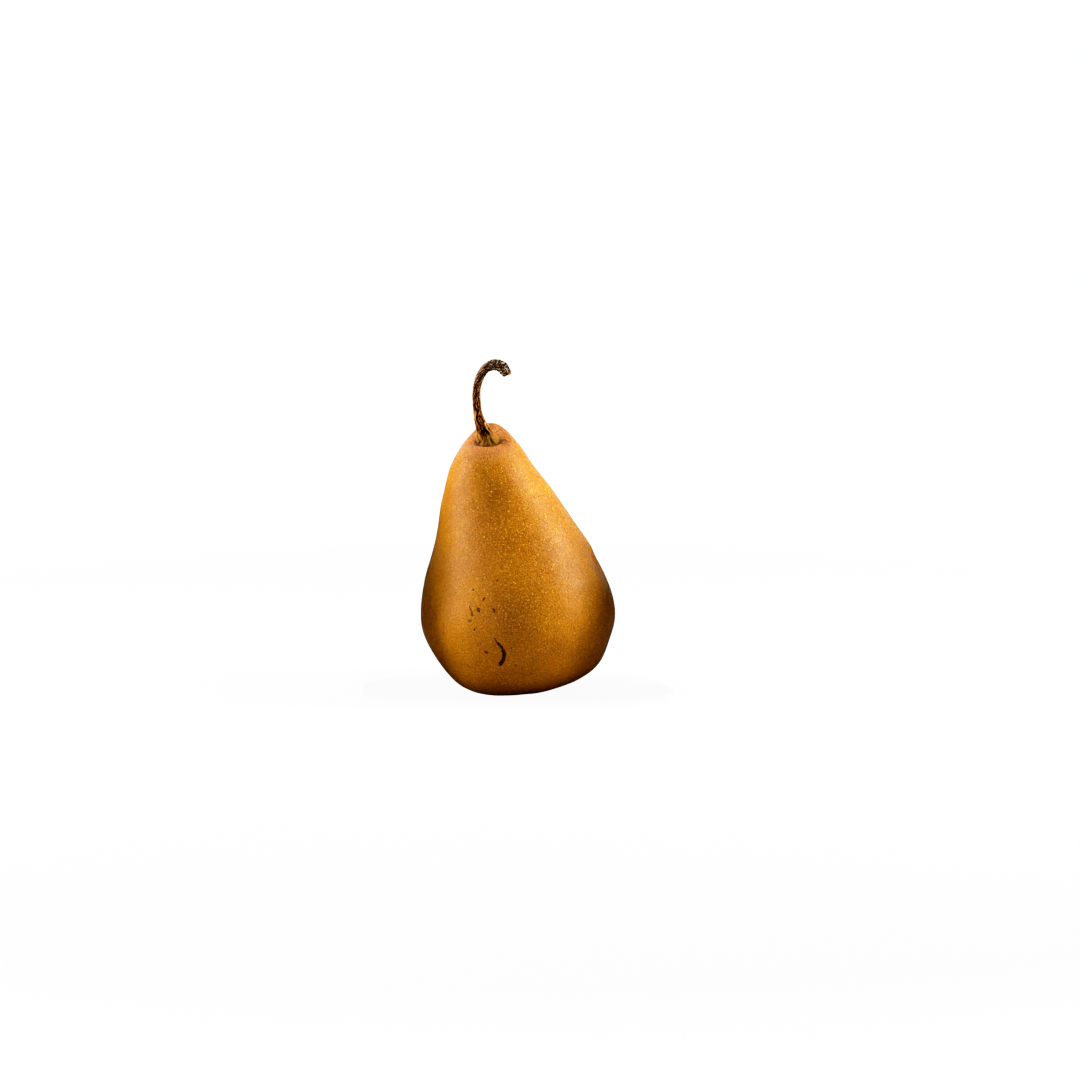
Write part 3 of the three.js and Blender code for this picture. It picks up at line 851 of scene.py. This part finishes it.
def calyxMesh():
    centre, axis, right, back = (v[0] for v in framesOn(coreLine, coreLength, np.array([basinRoof])))
    verts = []
    faces = []
    deep = []

    def addGrid(points, shade):
        # Rings of points, one row for each, joined by quads
        start = len(verts)
        rows, columns = points.shape[:2]
        verts.extend(points.reshape(-1, 3))
        deep.extend(shade.ravel())
        for row in range(rows - 1):
            for k in range(columns):
                following = (k + 1) % columns
                a = start + row * columns
                faces.append((a + k, a + following, a + columns + following, a + columns + k))
        return start

    # Cup: outer wall down, over the rim and up inside to its floor
    sides = 40
    turns = np.linspace(0, 2 * math.pi, sides, endpoint=False)
    radius, depth, wall = calyx["cupRadius"], calyx["cupDepth"], calyx["wall"]
    profile = [(0.02, 0), (radius * 0.85, 0), (radius, -depth * 0.5), (radius * 0.86, -depth),
               (radius * 0.86 - wall, -depth), (radius - wall, -depth * 0.5), (radius * 0.5, -depth * 0.3),
               (0.02, -depth * 0.28)]
    curve = curveThrough([(r, z, 0) for r, z in profile], 40)[0]
    wrinkle = 1 + 0.06 * np.cos(turns * 10)[None, :] * np.linspace(0, 1, 40)[:, None]
    ringRadius = curve[:, 0][:, None] * wrinkle
    rings = (centre + ringRadius[:, :, None] * (np.cos(turns)[None, :, None] * right
                                                + np.sin(turns)[None, :, None] * back)
             + curve[:, 1][:, None, None] * axis)
    # Darkest at the cup's inner floor, lighter out over the rim: partly the tissue's own tone, partly
    # painted shade in the cup
    addGrid(rings[::-1], np.linspace(1, 0.2, 40)[:, None].repeat(sides, 1))

    for i in range(calyx["sepals"]):
        toward = math.radians(calyx["firstToward"] + 360 * i / calyx["sepals"])
        outward = np.cos(toward) * right + np.sin(toward) * back
        aside = np.cross(axis, outward)
        rows, columns = 16, 18
        share = np.linspace(0, 1, rows)
        half = calyx["sepalWidth"] / 2 * (1 - share ** 2.2) * (0.75 + 0.5 * share) + 0.03
        turn = np.linspace(0, 2 * math.pi, columns, endpoint=False)
        bow = 0.22 * np.sin(share * 3 + i)
        drop = -1.15 - calyx["curl"] * share ** 2 - 0.25 * share * math.sin(i * 2.1)
        spread = calyx["sepalRoot"] + calyx["sepalLength"] * share - 0.5 * share ** 3
        across = half[:, None] * np.cos(turn)[None, :]
        thick = (calyx["sepalThickness"] / 2 * (1 - 0.5 * share))[:, None] * np.sin(turn)[None, :]
        fold = 0.18 * (across / 0.8) ** 2
        blade = (centre + spread[:, None, None] * outward + (across + bow[:, None])[:, :, None] * aside
                 + (drop[:, None] + thick - fold)[:, :, None] * axis)
        start = addGrid(blade, (0.35 + 0.4 * np.abs(np.cos(turn * 2)))[None, :].repeat(rows, 0))
        faces.append(tuple(start + k for k in range(columns))[::-1])
        faces.append(tuple(start + (rows - 1) * columns + k for k in range(columns)))

    for i in range(calyx["stamens"]):
        toward = 2 * math.pi * i / calyx["stamens"] + 0.3 * math.sin(i * 3.7)
        outward = np.cos(toward) * right + np.sin(toward) * back
        rows, columns = 7, 6
        share = np.linspace(0, 1, rows)
        turn = np.linspace(0, 2 * math.pi, columns, endpoint=False)
        reach = 1.05 + 0.15 * math.sin(i * 1.9) - 0.7 * share ** 2
        stalk = (centre + reach[:, None] * outward
                 + (-calyx["cupDepth"] * 0.3 - 1.1 * share)[:, None] * axis)
        thin = 0.11 * (1 - 0.45 * share)
        ring = (np.cos(turn)[:, None] * outward + np.sin(turn)[:, None] * np.cross(axis, outward))
        tube = stalk[:, None] + thin[:, None, None] * ring[None]
        start = addGrid(tube, np.full((rows, columns), 0.7))
        faces.append(tuple(start + k for k in range(columns))[::-1])
        faces.append(tuple(start + (rows - 1) * columns + k for k in range(columns)))

    mesh = bpy.data.meshes.new("dried_calyx")
    mesh.from_pydata((np.array(verts) * mm).tolist(), [], faces)
    setAttribute(mesh, "deep", deep)
    form = bmesh.new()
    form.from_mesh(mesh)
    bmesh.ops.remove_doubles(form, verts=form.verts, dist=1e-6)
    bmesh.ops.recalc_face_normals(form, faces=form.faces)
    form.to_mesh(mesh)
    form.free()
    mesh.shade_smooth()
    return mesh


def calyxMaterial():
    # Withered sepal tissue, dried on the fruit: papery grey-brown, darker in its folds and deep in its cup,
    # where the dark is partly its own tone and partly painted shade
    material, tree, shader, place = startMaterial("withered_sepal")
    deep = addNode(tree, "ShaderNodeAttribute", {"attribute_name": "deep"})
    speckle = addNode(tree, "ShaderNodeTexNoise", {"Scale": 1 / 0.4, "Detail": 4.0}, {"Vector": place})
    level = addNode(tree, "ShaderNodeMath", {"operation": "MULTIPLY_ADD", 1: 0.6, 2: -0.2}, {0: speckle})
    mixed = addNode(tree, "ShaderNodeMath", {"operation": "MULTIPLY_ADD", 1: 0.6, "use_clamp": True},
                    {0: deep.outputs["Fac"], 2: level})
    tone = addNode(tree, "ShaderNodeValToRGB",
                   {"stops": ((0, "#8a6d4c"), (0.5, "#4c3623"), (1, "#1d130c"))}, {"Fac": mixed})
    tree.links.new(tone.outputs[0], shader.inputs["Base Color"])
    shader.inputs["Roughness"].default_value = 0.82
    relief = addNode(tree, "ShaderNodeMath", {"operation": "MULTIPLY", 1: 0.06}, {0: speckle})
    bump = addNode(tree, "ShaderNodeBump", {"Strength": 1.0, "Distance": mm}, {"Height": relief})
    tree.links.new(bump.outputs[0], shader.inputs["Normal"])
    return material


def makeCalyx():
    mesh = calyxMesh()
    mesh.materials.append(calyxMaterial())
    piece = addObject("dried_calyx", mesh)
    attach(piece, "root")
    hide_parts("calyx")
    return piece


pearCalyx = makeCalyx()
print("calyx:", len(pearCalyx.data.polygons), "faces")


# Floor, light and surroundings

studio = {
    "floorRadius": 1100,
    "fadeFrom": 120.0,  # where the floor starts to melt into the white around it
    "fadeTo": 420.0,
    "frontFrom": -15.0,  # where the floor that the pear sees starts to get lighter, towards the front
    "frontTo": -50.0,
    "floorGlow": 0.85,  # how much of the floor's look is plain white, and the rest is lit paper
    "surroundings": 0.04,  # what the pear sees apart from the lights
    # Each soft light: place, width and height, the point it faces, and power in watts
    "lights": {
        "left": ((-400, -20, 205), (150, 420), (-10, 0, 50), 2.45),
        "right": ((400, -20, 205), (110, 420), (0, 0, 50), 3.4),
        "front": ((-170, -480, 70), (300, 300), (0, 0, 35), 0.5),
        "backLeft": ((-200, 380, 260), (170, 350), (0, 0, 60), 0.3),
        "backRight": ((200, 380, 260), (170, 350), (0, 0, 60), 0.3),
    },
    # Dark oval cards that keep the side lights off the belly's edges: middle, half depth and half height
    "cards": {"left": ((-56, 1, 35.5), 28, 39), "right": ((56, -2, 34), 28, 34)},
    "cardLeak": 0.05,  # share of the light that still comes through a card
    # Tone curve of the picture: light in, light out
    "toneCurve": ((0.012, 0.0025), (0.03, 0.013), (0.06, 0.045), (0.1, 0.095), (0.2, 0.24), (0.35, 0.46),
                  (0.55, 0.72), (0.78, 0.92)),
}


def floorMaterial():
    # Matt white studio card. Only what the camera sees of it is white, so that little light comes back up.
    material, tree, shader, place = startMaterial("matt_studio_card")
    path = addNode(tree, "ShaderNodeLightPath")
    away = addNode(tree, "ShaderNodeVectorMath", {"operation": "LENGTH"}, {0: place})
    fade = addNode(tree, "ShaderNodeMapRange",
                   {"interpolation_type": "SMOOTHSTEP", "From Min": studio["fadeFrom"],
                    "From Max": studio["fadeTo"]}, {"Value": away.outputs["Value"]})
    grainy = addNode(tree, "ShaderNodeTexNoise", {"Scale": 1 / 1.5, "Detail": 2.0}, {"Vector": place})
    paper = addNode(tree, "ShaderNodeValToRGB", {"stops": ((0, "#e9e8e6"), (1, "#f2f1ef"))},
                    {"Fac": grainy})
    # What the pear sees of it: dark at the sides and lighter in front, which lights the lower belly
    sides = addNode(tree, "ShaderNodeSeparateXYZ", links={0: place})
    inFront = addNode(tree, "ShaderNodeMapRange",
                      {"From Min": studio["frontFrom"], "From Max": studio["frontTo"]},
                      {"Value": sides.outputs["Y"]})
    unseen = addNode(tree, "ShaderNodeMix",
                     {"data_type": "RGBA", 6: linear("#5e5953"), 7: linear("#a49d94")}, {0: inFront})
    seen = addNode(tree, "ShaderNodeMix", {"data_type": "RGBA"},
                   {0: path.outputs["Is Camera Ray"], 6: unseen.outputs[2], 7: paper})
    tree.links.new(seen.outputs[2], shader.inputs["Base Color"])
    shader.inputs["Roughness"].default_value = 0.9
    white = addNode(tree, "ShaderNodeEmission", links={"Strength": path.outputs["Is Camera Ray"]})
    glow = addNode(tree, "ShaderNodeMath", {"operation": "MULTIPLY", 1: studio["floorGlow"]},
                   {0: path.outputs["Is Camera Ray"]})
    whiteShare = addNode(tree, "ShaderNodeMath", {"operation": "MAXIMUM"}, {0: fade, 1: glow})
    clear = addNode(tree, "ShaderNodeMixShader", links={0: whiteShare, 1: shader, 2: white})
    tree.links.new(clear.outputs[0], tree.nodes["Material Output"].inputs["Surface"])
    return material


def makeFloor():
    mesh = bpy.data.meshes.new("studio_floor")
    form = bmesh.new()
    bmesh.ops.create_circle(form, cap_ends=True, segments=96, radius=studio["floorRadius"] * mm)
    form.to_mesh(mesh)
    form.free()
    mesh.materials.append(floorMaterial())
    floor = addObject("studio_floor", mesh)


def makeSurroundings():
    world = bpy.data.worlds.new("white_surroundings")
    bpy.context.scene.world = world
    world.use_nodes = True
    tree = world.node_tree
    path = addNode(tree, "ShaderNodeLightPath")
    level = addNode(tree, "ShaderNodeMapRange", {"To Min": studio["surroundings"], "To Max": 1.0},
                    {"Value": path.outputs["Is Camera Ray"]})
    background = tree.nodes["Background"]
    background.inputs["Color"].default_value = (1, 1, 1, 1)
    tree.links.new(level.outputs[0], background.inputs["Strength"])


def makeLights():
    for name, (place, size, facing, power) in studio["lights"].items():
        light = bpy.data.lights.new("softbox_" + name, "AREA")
        light.shape = "RECTANGLE"
        light.size = size[0] * mm
        light.size_y = size[1] * mm
        light.energy = power
        box = addObject("softbox_" + name, light)
        box.location = Vector(place) * mm
        box.rotation_euler = (Vector(facing) - Vector(place)).to_track_quat("-Z", "Y").to_euler()
        box.visible_camera = False


def cardMaterial():
    # Black flocked card: soaks up nearly all light, here thin enough to let a little through
    material, tree, shader, place = startMaterial("black_flocked_card")
    shader.inputs["Base Color"].default_value = linear("#060606")
    shader.inputs["Roughness"].default_value = 1.0
    through = addNode(tree, "ShaderNodeBsdfTransparent")
    thin = addNode(tree, "ShaderNodeMixShader", {0: studio["cardLeak"]}, {1: shader, 2: through})
    tree.links.new(thin.outputs[0], tree.nodes["Material Output"].inputs["Surface"])
    return material


def makeCards():
    material = cardMaterial()
    for name, (middle, halfDepth, halfHeight) in studio["cards"].items():
        mesh = bpy.data.meshes.new("card_" + name)
        form = bmesh.new()
        rim = bmesh.ops.create_circle(form, cap_ends=True, segments=48, radius=1)["verts"]
        for corner in rim:
            across, up, _ = corner.co
            corner.co = (Vector(middle) + Vector((0, halfDepth * across, halfHeight * up))) * mm
        form.to_mesh(mesh)
        form.free()
        mesh.materials.append(material)
        card = addObject("card_" + name, mesh)
        card.visible_camera = False


def setTones():
    # The photograph's contrast: deeper shadows and softer highlights than straight light
    settings = bpy.context.scene.view_settings
    settings.view_transform = "Standard"
    settings.use_curve_mapping = True
    curve = settings.curve_mapping.curves[3]
    for lightIn, lightOut in studio["toneCurve"]:
        curve.points.new(lightIn, lightOut)
    settings.curve_mapping.update()


makeFloor()
makeSurroundings()
makeLights()
makeCards()
setTones()
print("studio: floor, surroundings and", len(studio["lights"]), "soft lights")
